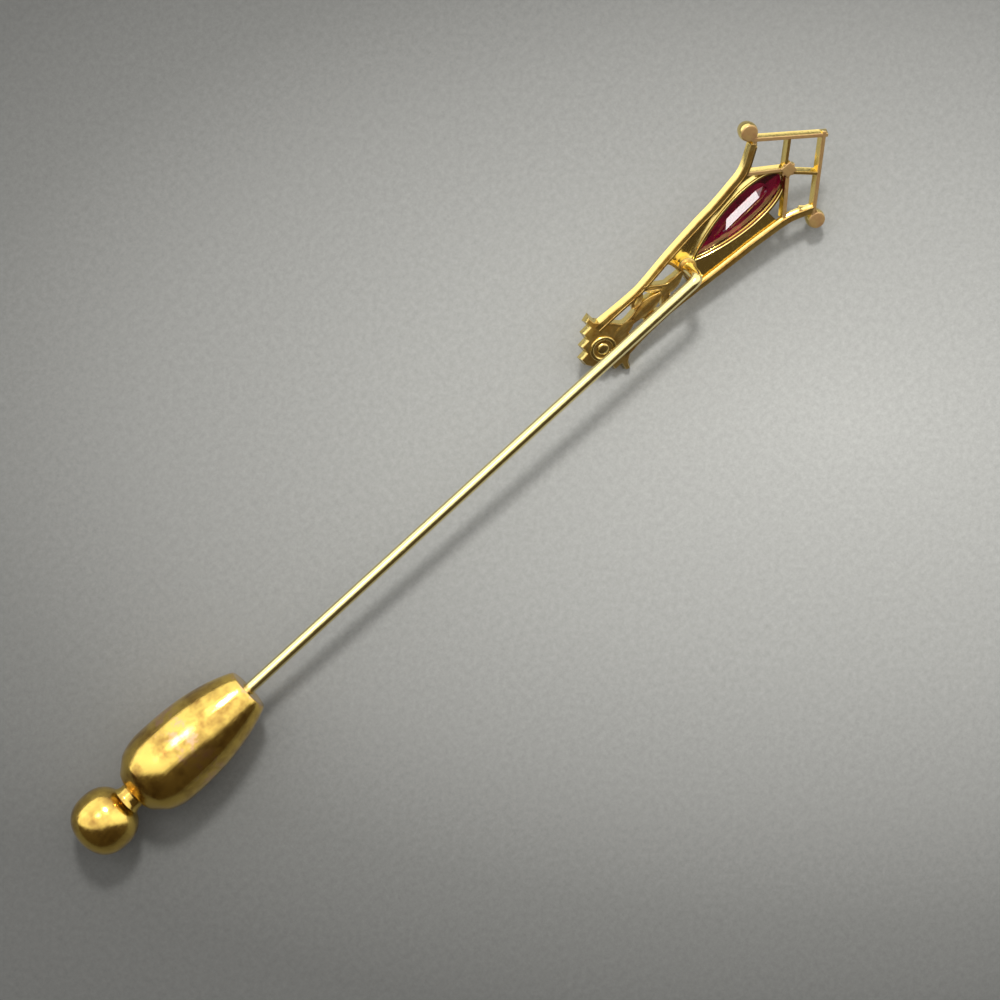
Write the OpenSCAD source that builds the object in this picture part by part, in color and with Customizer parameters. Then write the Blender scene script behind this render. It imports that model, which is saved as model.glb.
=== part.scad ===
// Stick pin lying on its back: a pierced gold head with a pear stone, a long stem,
// and a pull-knob clutch on the point. Millimetres, +Z up, table top at Z = 0.
// X runs along the stem in plan towards the head, Y to the left of it.
// The head's own frame has x along its axis from the small collet to the apex,
// y to the left and z out of its back. The clutch's own frame has z along the stem
// from its front face to the ball.

/* [Pose on the table] */
// Roll of the head about its own axis, left side up
head_roll = 34; // [30:0.5:38]
// Rise of the head from the collet to the apex
head_pitch = 8; // [6:0.5:10]
// Turn of the head's axis from the stem in plan
head_yaw = 1.5; // [0:0.1:3]
// Distance in plan from the clutch's front face to the small collet
collet_reach = 32.8; // [28:0.1:38]

/* [Stem] */
// Diameter of the stem's wire
wire_d = 0.8; // [0.7:0.05:0.9]
// Height of the stem's corner over the back of the head
stem_stand = 1.9; // [1.7:0.05:2.2]
// Radius of the rounded corner between the stem and its post
corner_r = 0.5; // [0.48:0.01:0.54]
// Diameter of the post that carries the stem
post_d = 0.9; // [0.84:0.02:0.94]
// Place of the post on the head's axis
post_x = 7.85; // [7.6:0.05:7.9]
// Radius of the solder round the post
solder_r = 0.64; // [0.58:0.01:0.66]
// Height of the solder round the post
solder_h = 0.32; // [0.2:0.01:0.4]
// Length of the stem that the clutch hides, point included
hidden_len = 11.4; // [10:0.1:12]
// Diameter of the stem where its sharp point starts
taper_d = 0.70; // [0.66:0.02:0.74]
// Distance from the clutch's front face to the stem's full diameter
full_start = 0.4; // [0.2:0.1:1]
// Length of the sharp point
point_len = 3.0; // [2:0.1:4]

/* [Head frame] */
// Thickness of the pierced plate
plate_t = 0.53; // [0.45:0.01:0.6]
// Width of the bars and rails
bar_w = 0.50; // [0.45:0.01:0.56]
// Distance from the collet to the middle of the lattice
lattice_x = 16.9; // [16.8:0.05:17.1]
// Half diagonal of the lattice square, along the bars' middles
lattice_r = 3.45; // [3.3:0.01:3.6]
// Side of the square boss in the middle of the lattice
boss_w = 0.9; // [0.7:0.05:1.1]
// Radius of the round knobs at the sides
knob_r = 0.62; // [0.55:0.01:0.7]
// How much lower the right side of the lattice was soldered than the left
lattice_slip = 0.5; // [0:0.05:0.55]

/* [Pear setting] */
// Distance of the bezel's axis from the head's, to the right
bezel_shift = 0.15; // [0.1:0.05:0.25]
// Place of the bezel's pointed end
bezel_tip = 8.2; // [8.0:0.05:8.4]
// Length of the bezel outside
bezel_len = 8.55; // [8.3:0.05:8.8]
// Half width of the bezel outside
bezel_half = 1.57; // [1.5:0.01:1.65]
// Thickness of the bezel's wall
bezel_t = 0.2; // [0.16:0.01:0.24]
// Depth of the bezel's rim below the back of the plate
rim_z = 0.26; // [0.2:0.01:0.3]
// Depth of the bezel's foot below the back of the plate
foot_z = 1.15; // [1.05:0.01:1.25]
// Depth of the stone's girdle below the back of the plate
girdle_z = 0.75; // [0.7:0.01:0.8]

/* [Small collet] */
// Outer radius of the small collet's ring
collet_r = 0.95; // [0.85:0.01:1.05]
// Depth of the dome's middle below the back of the plate
dome_z = 1.16; // [1.0:0.01:1.25]

/* [Clutch] */
// Radius of the clutch's front face
nose_r = 1.56; // [1.4:0.01:1.7]
// Largest radius of the clutch
belly_r = 2.84; // [2.7:0.01:3.0]
// Distance from the front face to the largest radius
belly_z = 7.4; // [7:0.1:7.8]
// Distance from the front face to the shoulder's edge
shoulder_z = 9.2; // [9:0.05:9.4]
// Radius of the shoulder's edge
shoulder_r = 2.44; // [2.3:0.01:2.55]
// Radial clearance of the stem in the clutch
stem_gap = 0.05; // [0.03:0.01:0.08]
// Radius of the chamber inside the clutch
chamber_r = 1.75; // [1.6:0.01:1.85]

/* [Pull knob] */
// Half length of the ball along its axis
ball_half = 2.12; // [2:0.01:2.2]
// Radius of the ball across its axis
ball_r = 2.2; // [2.1:0.01:2.3]
// Distance from the clutch's front face to the ball's middle
ball_z = 13.07; // [13:0.01:13.2]
// Radius of the neck
neck_r = 0.93; // [0.88:0.01:0.98]
// How far the knob pulls out
pull = 1.2; // [1:0.1:1.4]

/* [Hidden] */
$fn = 96;
gold = "#d9b45a";
brass = "#b98d3e";
ruby = "#a0123c";
wire_r = wire_d / 2;
post_r = post_d / 2;
point_r = 0.04;
sink = 0.1;

// Stepped end, from the right rail round the point to the left rail
steps = [[0.55, -2.30], [0.35, -2.84], [-0.05, -2.66], [0.00, -2.06], [-0.56, -2.02],
         [-0.56, -1.42], [-1.12, -1.36], [-1.16, -0.76], [-1.46, -0.55], [-1.70, -0.10],
         [-1.66, 0.50], [-1.12, 0.58], [-1.06, 1.20], [-0.42, 1.26], [-0.36, 1.84],
         [0.28, 1.88], [0.28, 2.42], [0.80, 2.52], [0.92, 2.05]];
// Outer edges of the rails: place along the head, left edge, right edge
rails = [[0.60, 1.75, 1.88], [2.50, 1.56, 1.76], [4.20, 1.44, 1.78], [5.20, 1.50, 1.82],
         [7.10, 1.74, 1.98], [8.40, 1.87, 2.10], [10.50, 2.03, 2.30], [11.35, 2.06, 2.38],
         [11.90, 2.09, 2.45], [13.50, 2.27, 2.72], [15.00, 2.56, 3.08], [16.20, 3.00, 3.55]];
rail_x = 0;
rail_left = 1;
rail_right = 2;
// Windows pierced beside the vine: left side, then right side
windows = [[[1.70, 0.92], [3.40, 0.98], [3.25, 0.84], [2.80, 0.54], [2.10, 0.50], [1.64, 0.82]],
           [[4.50, 0.86], [4.84, 0.84], [4.72, 0.60]],
           [[5.60, 1.00], [7.00, 1.14], [7.22, 0.72], [7.08, 0.36], [6.24, 0.46], [5.60, 0.88]],
           [[1.66, -1.20], [3.36, -1.26], [3.25, -0.90], [2.80, -0.54], [2.10, -0.50], [1.60, -0.94]],
           [[4.52, -0.95], [4.86, -0.90], [4.72, -0.62]],
           [[5.50, -1.28], [7.00, -1.38], [7.20, -0.72], [7.08, -0.36], [6.24, -0.46], [5.50, -1.05]]];
// Where the solder between rails and bezel ends
web_end = 11.35;
web_w = 1.06 * bar_w;

// Lattice: where its lower bars meet the rails, and how its middle sits up the head
rail_top_x = rails[len(rails) - 1][rail_x] - 0.3;
rail_top_y = 2.62;
low_bar_x = 14.85;
low_bar_y = 2.05;
boss_x = lattice_x + 0.2;
bar_start = 0.1;
ear_bar_w = 0.55;
knob_out = 0.70;
knob_depth = 0.6;

// Small collet: height of its ring, width of the ring, and the hollow inside it
ring_up = 0.12;
ring_w = 0.24;
hollow_floor = 0.08;
cup_r = 0.62;
cup_z = -0.55;

// Vine's leaves: place, turn, length, half width and height over the plate
leaves = [[[4.15, 0], 0, 2.6, 0.42, 0.16], [[1.80, 0], 0, 1.9, 0.30, 0.14],
          [[3.95, 1.05], 24, 1.5, 0.30, 0.10], [[3.95, -1.05], -24, 1.5, 0.30, 0.10],
          [[5.15, 0.62], -38, 1.5, 0.22, 0.10], [[5.15, -0.62], 38, 1.5, 0.22, 0.10]];

// Stone: each ring's scale along and across and its height, from the table to the keel
stone_gap = 0.03;
stone_rings = [[0.62, 0.62, -0.55], [0.84, 0.84, -0.30], [1.00, 1.00, -0.04],
               [1.00, 1.00, 0.04], [0.80, 0.31, 0.15], [0.50, 0.05, 0.53]];
stone_sides = 16;
// Width of the bearing under the stone's girdle and of the lip at the bezel's foot
bearing_w = 0.08;
lip_w = 0.05;

// Clutch: how fast it swells, the dome at its rear end, and the hollow inside
swell_power = 2.6;
rim_r = 0.08;
dome = [[2.12, 9.6], [1.64, 10.15], [1.16, 10.4]];
body_len = dome[len(dome) - 1][1];
chamber_z = [2.4, 9.4];
// Knob: how square its ball is, where its plunger starts, and the length of the collar
ball_power = 2.35;
plunger_z = 5.2;
collar_len = 2.2;
slide_gap = 0.05;
collar_gap = 0.08;

// Turns a point of the head's frame to the table's directions
function about_x(p, a) = [p[0], p[1] * cos(a) - p[2] * sin(a), p[1] * sin(a) + p[2] * cos(a)];
function about_y(p, a) = [p[0] * cos(a) + p[2] * sin(a), p[1], p[2] * cos(a) - p[0] * sin(a)];
function about_z(p, a) = [p[0] * cos(a) - p[1] * sin(a), p[0] * sin(a) + p[1] * cos(a), p[2]];
function turned(p) = about_z(about_y(about_x(p, head_roll), -head_pitch), head_yaw);

// The head rests on the front edge of its right ear, and the stem runs over Y = 0
ear = turned([steps[1][0], steps[1][1], -plate_t]);
corner_rise = turned([post_x, 0, stem_stand]);
collet = [collet_reach, -corner_rise[1], -ear[2]];
corner = collet + corner_rise;
stem_tilt = atan2(corner[2] - belly_r, corner[0] + belly_z);
clutch_front = [belly_z * (cos(stem_tilt) - 1), 0, belly_r + belly_z * sin(stem_tilt)];
stem_len = norm(corner - clutch_front);

// Middle of the whole thing in plan, brought over the origin
plan_middle = [19.082, 1.356];

to_point = [-cos(stem_tilt), 0, -sin(stem_tilt)];

// Half width of a pear of length 1 and half width 1 at a share of its length from the tip
function pear_half(f) = 1.085 * 2 * sqrt(f * (1 - f)) * pow(f, 0.378);
function pear_x(a) = (1 - cos(a)) / 2;
function pear_point(tip, length, half, a) =
    [tip + length * pear_x(a), half * sign(180 - a) * pear_half(pear_x(a))];
function pear(tip, length, half, sides) =
    [for (i = [0 : sides - 1]) pear_point(tip, length, half, 360 * i / sides)];

module on_table() {
    translate([-plan_middle[0], -plan_middle[1], 0]) children();
}

module on_head() {
    on_table() translate(collet) rotate([0, 0, head_yaw]) rotate([0, -head_pitch, 0])
        rotate([head_roll, 0, 0]) children();
}

// The clutch's frame, z from the front face to the ball
module on_clutch() {
    on_table() translate(clutch_front) rotate([0, -90 - stem_tilt, 0]) children();
}

// A straight bar of the plate between two points
module bar(a, b, w) {
    run = b - a;
    translate(a) rotate(atan2(run[1], run[0])) translate([-w / 2, -w / 2]) square([norm(run) + w, w]);
}

// A leaf's outline, two arcs that meet at its tips
module leaf(length, half) {
    r = (length * length / 4 + half * half) / (2 * half);
    intersection() {
        translate([0, r - half]) circle(r = r);
        translate([0, half - r]) circle(r = r);
    }
}

// One edge of the rails between two places along the head
function rail_edge(side, from, to, inset) =
    [for (r = rails) if (r[rail_x] >= from && r[rail_x] <= to)
        [r[rail_x], (side == rail_left ? 1 : -1) * (r[side] - inset)]];

function backwards(list) = [for (i = [len(list) - 1 : -1 : 0]) list[i]];

// Stepped end, rails and the vine between them, filled up to the end of the solder
module lower_plate() {
    difference() {
        polygon(concat(steps, rail_edge(rail_left, 0, web_end, 0),
                       backwards(rail_edge(rail_right, 0, web_end, 0))));
        for (w = windows) polygon(w);
    }
}

// Rail from the solder to the lattice
module rail_end(side) {
    polygon(concat(rail_edge(side, web_end, lattice_x, 0),
                   backwards(rail_edge(side, web_end, lattice_x, web_w))));
}

// One side of the lattice, its side corner slipped down the head and out
module lattice_half(way, slip) {
    corner_2d = [lattice_x - slip, way * (lattice_r + 0.75 * slip)];
    apex = [lattice_x + lattice_r, 0];
    joint = (corner_2d + apex) / 2;
    rail_top = [rail_top_x, way * (rail_top_y + slip)];
    knob_spot = corner_2d + [-bar_start - slip / 3, way * knob_r];
    bar(corner_2d, apex, bar_w);
    bar([lattice_x, way * bar_start], joint, bar_w);
    bar([lattice_x + bar_start, way * bar_start], [low_bar_x - slip / 3, way * (low_bar_y + slip)], bar_w);
    bar(rail_top, corner_2d, bar_w);
    bar(knob_spot, corner_2d, ear_bar_w);
}

module pear_outline(inset) {
    translate([0, -bezel_shift])
        polygon(pear(bezel_tip + 1.6 * inset, bezel_len - 2.6 * inset, bezel_half - inset, 48));
}

module plate_outline() {
    difference() {
        union() {
            lower_plate();
            rail_end(rail_left);
            rail_end(rail_right);
            lattice_half(1, 0);
            lattice_half(-1, lattice_slip);
            translate([boss_x, 0]) for (turn = [0, 45])
                rotate(turn) square(boss_w * (turn == 0 ? 1 : 0.86), center = true);
        }
        pear_outline(bezel_t);
    }
}

module bezel_ring(inset, low, high) {
    translate([0, 0, low]) linear_extrude(high - low) difference() {
        pear_outline(0);
        pear_outline(inset);
    }
}

// Wall below the plate's back, the bearing over the stone's girdle and a lip at the foot
module bezel() {
    bezel_ring(bezel_t, -foot_z, -rim_z);
    bezel_ring(bezel_t + bearing_w, -girdle_z + 0.08, -girdle_z + 0.24);
    bezel_ring(bezel_t + lip_w, -foot_z, -foot_z + 0.08);
}

// Ring on the back and the dome that stands out at the front
module collet_boss() {
    difference() {
        translate([0, 0, -dome_z]) cylinder(h = dome_z + ring_up, r = collet_r);
        translate([0, 0, -hollow_floor]) cylinder(h = 1, r = collet_r - ring_w);
    }
    translate([0, 0, -dome_z]) sphere(r = collet_r);
    translate([0, 0, cup_z]) sphere(r = cup_r);
}

module knob(way, slip) {
    translate([lattice_x - 1.5 * slip, way * (lattice_r + knob_out + 0.7 * slip), -knob_depth]) {
        cylinder(h = knob_depth + 0.04, r = knob_r);
        sphere(r = knob_r);
    }
}

// Back of the vine: its leaves stand a little over the plate
module vine_relief() {
    for (l = leaves) let (place = l[0], turn = l[1], length = l[2], half = l[3], rise = l[4])
        translate([place[0], place[1], -sink]) linear_extrude(sink + rise) rotate(turn) leaf(length, half);
}

// Low cone of solder round the stem's post
module foot_solder() {
    translate([post_x, 0, -sink]) cylinder(h = sink + solder_h, r1 = solder_r, r2 = post_r + 0.02);
}

module stem() {
    start = clutch_front + hidden_len * to_point;
    on_table() translate(start) rotate([0, 90 - stem_tilt, 0]) {
        cylinder(h = point_len, r1 = point_r, r2 = taper_d / 2);
        translate([0, 0, point_len])
            cylinder(h = hidden_len - point_len + full_start, r1 = taper_d / 2, r2 = wire_r);
        translate([0, 0, hidden_len + full_start]) cylinder(h = stem_len - full_start, r = wire_r);
    }
    on_head() translate([post_x, 0, -plate_t / 2]) {
        cylinder(h = plate_t / 2 + stem_stand, r = post_r);
        translate([0, 0, plate_t / 2 + stem_stand]) sphere(r = corner_r);
    }
}

module pin_head_and_stem() {
    color(gold) {
        on_head() {
            translate([0, 0, -plate_t]) linear_extrude(plate_t) plate_outline();
            bezel();
            collet_boss();
            knob(1, 0);
            knob(-1, lattice_slip);
            vine_relief();
            foot_solder();
        }
        stem();
    }
}

// Pear stone with a flat table to the front and a keel to the back
function stone_ring(k) =
    let (full = pear(bezel_tip + 1.6 * bezel_t + stone_gap, bezel_len - 2.6 * bezel_t - 2 * stone_gap,
                     bezel_half - bezel_t - stone_gap, stone_sides),
         hub = bezel_tip + 0.6 * bezel_len)
    [for (p = full) [hub + (p[0] - hub) * stone_rings[k][0], p[1] * stone_rings[k][1] - bezel_shift,
                     stone_rings[k][2] - girdle_z]];

module pear_stone() {
    rings = len(stone_rings);
    n = stone_sides;
    points = [for (k = [0 : rings - 1]) each stone_ring(k)];
    // Each band's quads are split the other way at every second corner, as kites are
    band = [for (k = [0 : rings - 2]) for (i = [0 : n - 1])
        let (j = (i + 1) % n, a = k * n + i, b = k * n + j, c = a + n, d = b + n)
        each (i + k) % 2 == 0 ? [[a, b, c], [b, d, c]] : [[a, d, c], [a, b, d]]];
    table = [[for (i = [n - 1 : -1 : 0]) i]];
    keel = [[for (i = [0 : n - 1]) (rings - 1) * n + i]];
    color(ruby) on_head() polyhedron(points = points, faces = concat(table, band, keel));
}

// Barrel: a swelling from the front face to the belly, then a shoulder and a low dome
module clutch_body() {
    swell = [for (i = [0 : 14]) let (q = i / 14)
        [nose_r + (belly_r - nose_r) * (1 - pow(1 - q, swell_power)), belly_z * q]];
    tail = [for (i = [1 : 5]) let (q = i / 5)
        [belly_r - (belly_r - shoulder_r) * q * q, belly_z + (shoulder_z - belly_z) * q]];
    color(brass) on_clutch() difference() {
        rotate_extrude() polygon(concat([[0, 0], [nose_r - rim_r, 0], [nose_r, rim_r]],
                                        [for (p = swell) if (p[1] > rim_r) p], tail, dome, [[0, body_len]]));
        translate([0, 0, -1]) cylinder(h = chamber_z[0] + 2, r = wire_r + stem_gap);
        translate([0, 0, chamber_z[0]]) cylinder(h = chamber_z[1] - chamber_z[0], r = chamber_r);
        translate([0, 0, chamber_z[1] - 0.4]) cylinder(h = 3, r = neck_r + slide_gap);
    }
}

// Ball on a neck, with the plunger and its collar inside the barrel
module clutch_knob() {
    ball = [for (i = [0 : 24]) let (a = 180 * i / 24, e = 2 / ball_power)
        [ball_r * pow(sin(a), e), ball_z - ball_half * sign(cos(a)) * pow(abs(cos(a)), e)]];
    collar_back = chamber_z[1] - pull;
    color(brass) on_clutch() difference() {
        union() {
            rotate_extrude() polygon(ball);
            translate([0, 0, plunger_z]) cylinder(h = ball_z - plunger_z, r = neck_r);
            translate([0, 0, collar_back - collar_len]) cylinder(h = collar_len, r = chamber_r - collar_gap);
        }
        // The bore for the point ends inside the ball's foot
        translate([0, 0, plunger_z - 1]) cylinder(h = ball_z - plunger_z, r = wire_r + stem_gap);
    }
}

pin_head_and_stem();
pear_stone();
clutch_body();
clutch_knob();
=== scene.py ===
"""A stick pin that lies on its back: pierced gold head, pear stone, long stem, pull clutch.

Each piece is a surface worked out with numpy in millimetres, in the frame of its own part of
the pin, and is then put into the table's frame in metres. The head's frame has x along the
head from the small collet to the apex, y to the left and z out of its back. The clutch's
frame has z along the stem from the front face to the ball.
"""
from types import SimpleNamespace

import bmesh
import bpy
import numpy as np
from bpy.props import FloatProperty, FloatVectorProperty, PointerProperty
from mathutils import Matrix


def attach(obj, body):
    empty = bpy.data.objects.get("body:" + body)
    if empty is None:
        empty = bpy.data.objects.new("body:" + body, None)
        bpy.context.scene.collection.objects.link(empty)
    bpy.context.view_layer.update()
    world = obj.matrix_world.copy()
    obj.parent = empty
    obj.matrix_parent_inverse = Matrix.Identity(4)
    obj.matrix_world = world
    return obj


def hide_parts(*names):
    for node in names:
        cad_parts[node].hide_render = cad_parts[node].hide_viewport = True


bl_info = {
    "name": "Stick Pin",
    "version": (1, 0, 0),
    "blender": (4, 5, 0),
    "location": "View3D > Sidebar > Stick Pin",
    "description": "Builds a stick pin with a pierced head, a pear stone and a pull clutch",
    "category": "Add Mesh",
}

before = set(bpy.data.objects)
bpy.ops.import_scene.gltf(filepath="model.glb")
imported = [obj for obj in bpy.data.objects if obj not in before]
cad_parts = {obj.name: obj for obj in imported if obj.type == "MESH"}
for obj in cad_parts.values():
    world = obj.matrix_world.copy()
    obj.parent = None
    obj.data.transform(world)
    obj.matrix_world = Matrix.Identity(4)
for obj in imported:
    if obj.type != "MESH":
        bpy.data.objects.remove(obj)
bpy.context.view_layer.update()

MM = 0.001
HEAD = "pin_head_and_stem"
STONE = "pear_stone"
BARREL = "clutch_body"
PULL = "clutch_knob"

# Places, in degrees and millimetres, as the solids have them
HEAD_ROLL = 34.0
HEAD_PITCH = 8.0
HEAD_YAW = 1.5
COLLET_REACH = 32.8
PLAN_MIDDLE = (19.082, 1.356)
EAR_CORNER = (0.35, -2.84, -0.53)
STEM_STAND = 1.9
POST_X = 7.85
BELLY_R = 2.84
BELLY_Z = 7.4


# Turns and origins of the head's and the clutch's frames

def turn(axis, degrees):
    """Matrix of a turn about the table's x, y or z axis (0, 1 or 2)."""
    c, s = np.cos(np.radians(degrees)), np.sin(np.radians(degrees))
    j, k = (axis + 1) % 3, (axis + 2) % 3
    m = np.eye(3)
    m[j, j], m[j, k], m[k, j], m[k, k] = c, -s, s, c
    return m


def head_place():
    """The head's turn and the small collet's place: the right ear's corner is on the table
    and the stem's corner is over the stem's line."""
    m = turn(2, HEAD_YAW) @ turn(1, -HEAD_PITCH) @ turn(0, HEAD_ROLL)
    ear = m @ EAR_CORNER
    rise = m @ (POST_X, 0, STEM_STAND)
    return m, np.array([COLLET_REACH - PLAN_MIDDLE[0], -rise[1] - PLAN_MIDDLE[1], -ear[2]])


HEAD_PLACE = head_place()
HEAD_TURN, COLLET = HEAD_PLACE
CORNER = COLLET + HEAD_TURN @ (POST_X, 0, STEM_STAND)


def clutch_place():
    """The clutch's turn and its front face's place: the belly touches the table where the
    stem comes down from its corner."""
    start = np.array([-PLAN_MIDDLE[0], -PLAN_MIDDLE[1], BELLY_R])
    tilt = np.degrees(np.arctan2(CORNER[2] - BELLY_R, CORNER[0] + PLAN_MIDDLE[0] + BELLY_Z))
    t = np.radians(tilt)
    start += BELLY_Z * np.array([np.cos(t) - 1, 0, np.sin(t)])
    return turn(1, -90 - tilt), start


CLUTCH_PLACE = clutch_place()
CLUTCH_TURN, CLUTCH_FRONT = CLUTCH_PLACE
TABLE_PLACE = (np.eye(3), np.zeros(3))


# Shapes: a solid is a pair of its points and faces, which form one closed shell

# A mitre reaches at most this many times as far as the bar's side
LONGEST_MITRE = 1.6
# A rounded corner takes at most this share of each of its sides
LONGEST_ROUND = 0.45


def grid_faces(rows, cols, round_rows=False, round_cols=False):
    """Quads between neighbouring rows and columns, carried on round where the grid closes."""
    i, j = np.meshgrid(np.arange(rows if round_rows else rows - 1),
                       np.arange(cols if round_cols else cols - 1), indexing="ij")
    h, k = (i + 1) % rows, (j + 1) % cols
    return np.stack([i * cols + j, i * cols + k, h * cols + k, h * cols + j], -1).reshape(-1, 4)


def outward(points, faces):
    """Faces turned so that the shell's volume, the sum of its corner tetrahedra, is positive."""
    fan = [(f[0], f[i], f[i + 1]) for f in faces for i in range(1, len(f) - 1)]
    a, b, c = (points[[t[i] for t in fan]] for i in range(3))
    volume = np.einsum("ij,ij->i", a, np.cross(b, c)).sum()
    return faces if volume > 0 else [f[::-1] for f in faces]


def shell(points, faces):
    """A solid's points in one array, with its faces as lists that look outward."""
    points = np.asarray(points, float).reshape(-1, 3)
    return points, outward(points, [list(map(int, f)) for f in faces])


def joined(shells):
    """Several shells as one set of points and faces."""
    starts = np.cumsum([0] + [len(p) for p, _ in shells])
    faces = [[i + int(s) for i in f] for (_, fs), s in zip(shells, starts) for f in fs]
    return np.vstack([p for p, _ in shells]), faces


def curve(points, count):
    """Catmull-Rom curve: between two points a cubic whose end slopes are half the step
    between their neighbours."""
    p = np.asarray(points, float)
    t = np.linspace(0, len(p) - 1, count)
    i = np.clip(t.astype(int), 0, len(p) - 2)
    f = (t - i)[:, None]
    q = np.vstack([2 * p[0] - p[1], p, 2 * p[-1] - p[-2]])
    a, b, c, d = q[i], q[i + 1], q[i + 2], q[i + 3]
    return 0.5 * (2 * b + (c - a) * f + (2 * a - 5 * b + 4 * c - d) * f ** 2
                  + (3 * b - a - 3 * c + d) * f ** 3)


def bar_section(flat, arc=4):
    """Points round a bar's section: share across (-1 to 1), share up (0 to 1), and how many
    edge radii the point lies in from the side and from the top or bottom. Arc is the steps of
    a corner, and flat the points across the top."""
    t = np.linspace(0, np.pi / 2, arc + 1)
    side, lid = 1 - np.cos(t), 1 - np.sin(t)
    one = np.ones(arc + 1)
    inner = np.linspace(1, -1, flat + 2)[1:-1]
    zero = np.zeros(flat)
    corners = [np.stack([one, one, side, lid], 1),
               np.stack([inner, zero + 1, zero, zero], 1),
               np.stack([-one, one, side[::-1], lid[::-1]], 1),
               np.stack([-one, 0 * one, side, lid], 1),
               np.stack([one, 0 * one, side[::-1], lid[::-1]], 1)]
    return np.vstack(corners)


def mitred(before, after):
    """Steps across a path, from the steps before and after each of its points: square to the
    mean of the two, with one over the cosine of half the turn as their length."""
    before = before / np.linalg.norm(before, axis=1)[:, None]
    after = after / np.linalg.norm(after, axis=1)[:, None]
    along = before + after
    along /= np.linalg.norm(along, axis=1)[:, None]
    cosine = np.maximum((along * before).sum(1), 1 / LONGEST_MITRE)
    return np.stack([-along[:, 1], along[:, 0]], 1) * (1 / cosine)[:, None]


def ribbon(path, width, low, high, edge, crown=0.0, closed=False, flat=7, draft=0.0):
    """A bar carried along a path in the plate: at each point a round-cornered section stands
    across the path, mitred where the path turns. The top rises by crown times one less the
    square of the share across, and is narrower than the foot by draft at each side. Open ends
    are drawn in by the edge radius."""
    path = np.asarray(path, float)
    rows = np.arange(len(path))
    if not closed:
        first, last = path[1] - path[0], path[-1] - path[-2]
        first, last = first / np.linalg.norm(first), last / np.linalg.norm(last)
        path = np.vstack([path[0], path[0] + first * edge, path[1:-1], path[-1] - last * edge,
                          path[-1]])
        rows = np.concatenate([[0], rows, rows[-1:]])
    width, low, high, crown = (np.broadcast_to(np.asarray(v, float), rows[-1] + 1)[rows, None]
                               for v in (width, low, high, crown))
    n = len(path)
    before = path - np.roll(path, 1, 0)
    after = np.roll(path, -1, 0) - path
    drawn = np.zeros((n, 1))
    if not closed:
        before[0], after[-1] = after[0], before[-1]
        drawn[0] = drawn[-1] = edge
    across = mitred(before, after)
    share, up, in_y, in_z = bar_section(flat).T
    side = np.where(np.abs(share) == 1, np.sign(share), 0)
    y = share * (width / 2 - drawn - draft * up) - side * edge * in_y
    top = np.where(up == 1, 1, -1)
    z = np.where(up == 1, high - drawn, low + drawn) - top * edge * in_z
    z = z + np.where(up == 1, crown * (1 - (2 * y / width) ** 2), 0)
    xy = path[:, None, :] + across[:, None, :] * y[..., None]
    points = np.concatenate([xy, z[..., None]], -1)
    m = points.shape[1]
    faces = grid_faces(n, m, round_rows=closed, round_cols=True).tolist()
    if not closed:
        faces += [list(range(m)), list(range((n - 1) * m, n * m))]
    return shell(points, faces)


def plate(outline, low, high, edge, draft=0.0):
    """An outline given thickness: a round-edged wall is carried round it, and its two rims
    are closed by flat faces. The top is drawn in from the foot by draft."""
    p = np.asarray(outline, float)
    area = 0.5 * np.sum(p[:, 0] * np.roll(p[:, 1], -1) - np.roll(p[:, 0], -1) * p[:, 1])
    inward = mitred(p - np.roll(p, 1, 0), np.roll(p, -1, 0) - p) * np.sign(area)
    t = np.linspace(0, np.pi / 2, 5)
    inset = edge * np.concatenate([1 - np.sin(t), (1 - np.sin(t))[::-1]])
    inset[:len(t)] += draft
    z = np.concatenate([high - edge * (1 - np.cos(t)), low + edge * (1 - np.cos(t))[::-1]])
    xy = p[:, None, :] + inward[:, None, :] * inset[:, None]
    points = np.concatenate([xy, np.broadcast_to(z[:, None], xy.shape[:2] + (1,))], -1)
    n, m = len(p), len(z)
    faces = grid_faces(n, m, round_rows=True).tolist()
    faces += [list(range(0, n * m, m)), list(range(m - 1, n * m, m))]
    return shell(points, faces)


def slab(top, bottom):
    """Two grids of points, one over the other, closed round their common edge."""
    rows, cols = top.shape[:2]
    count = rows * cols
    over = grid_faces(rows, cols)
    index = np.arange(count).reshape(rows, cols)
    rim = np.concatenate([index[0, :-1], index[:-1, -1], index[-1, :0:-1], index[:0:-1, 0]])
    after = np.roll(rim, -1)
    wall = np.stack([rim, rim + count, after + count, after], 1)
    faces = np.vstack([over, over[:, ::-1] + count, wall])
    return shell(np.vstack([top.reshape(-1, 3), bottom.reshape(-1, 3)]), faces)


def turned(profile, sides, closed=False):
    """A profile of (radius, height) carried round the z axis; a closed one comes back to its
    first point, and an open one ends on the axis."""
    p = np.asarray(profile, float)
    a = np.linspace(0, 2 * np.pi, sides, endpoint=False)
    points = np.stack([np.outer(np.cos(a), p[:, 0]), np.outer(np.sin(a), p[:, 0]),
                       np.broadcast_to(p[:, 1], (sides, len(p)))], -1)
    return shell(points, grid_faces(sides, len(p), round_rows=True, round_cols=closed))


def round_sweep(path, radius, side, sides=28):
    """A circle carried along a path that lies in one plane: side is that plane's normal, and
    the circle's other axis is the normal crossed with the path's direction."""
    along = np.gradient(path, axis=0)
    along /= np.linalg.norm(along, axis=1)[:, None]
    side = side / np.linalg.norm(side)
    other = np.cross(side, along)
    a = np.linspace(0, 2 * np.pi, sides, endpoint=False)[None, :, None]
    points = path[:, None] + radius[:, None, None] * (np.cos(a) * side + np.sin(a) * other[:, None])
    n = len(path)
    faces = grid_faces(n, sides, round_cols=True).tolist()
    faces += [list(range(sides)), list(range((n - 1) * sides, n * sides))]
    return shell(points, faces)


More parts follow.
